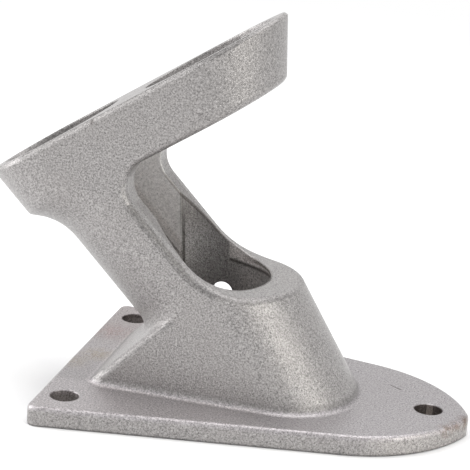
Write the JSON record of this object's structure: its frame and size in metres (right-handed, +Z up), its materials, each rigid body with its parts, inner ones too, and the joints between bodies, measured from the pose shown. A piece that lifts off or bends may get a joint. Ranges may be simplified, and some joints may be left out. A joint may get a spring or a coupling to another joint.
{
  "type": "mast base",
  "caption": "Cast two-way mast base: shield-shaped screw-down plate, boss and leaning leg joined by a sloping oblong collar, with an upright and a leaning pole socket.",
  "frame": {"origin": "where the upright socket's axis meets the flat underside of the foot plate", "axes": "+Z up out of the mounting surface, +X towards the pointed nose of the plate and away from the leaning leg, +Y to the side wall that has the set screw hole; the casting is a mirror image about the XZ plane apart from that hole"},
  "size_m": [0.109, 0.0676, 0.0863],
  "materials": {
    "cast_aluminium": "as-cast, finely tumbled, with slight staining"
  },
  "bodies": {
    "root": {"mast_base": "cast_aluminium"}
  },
  "joints": []
}
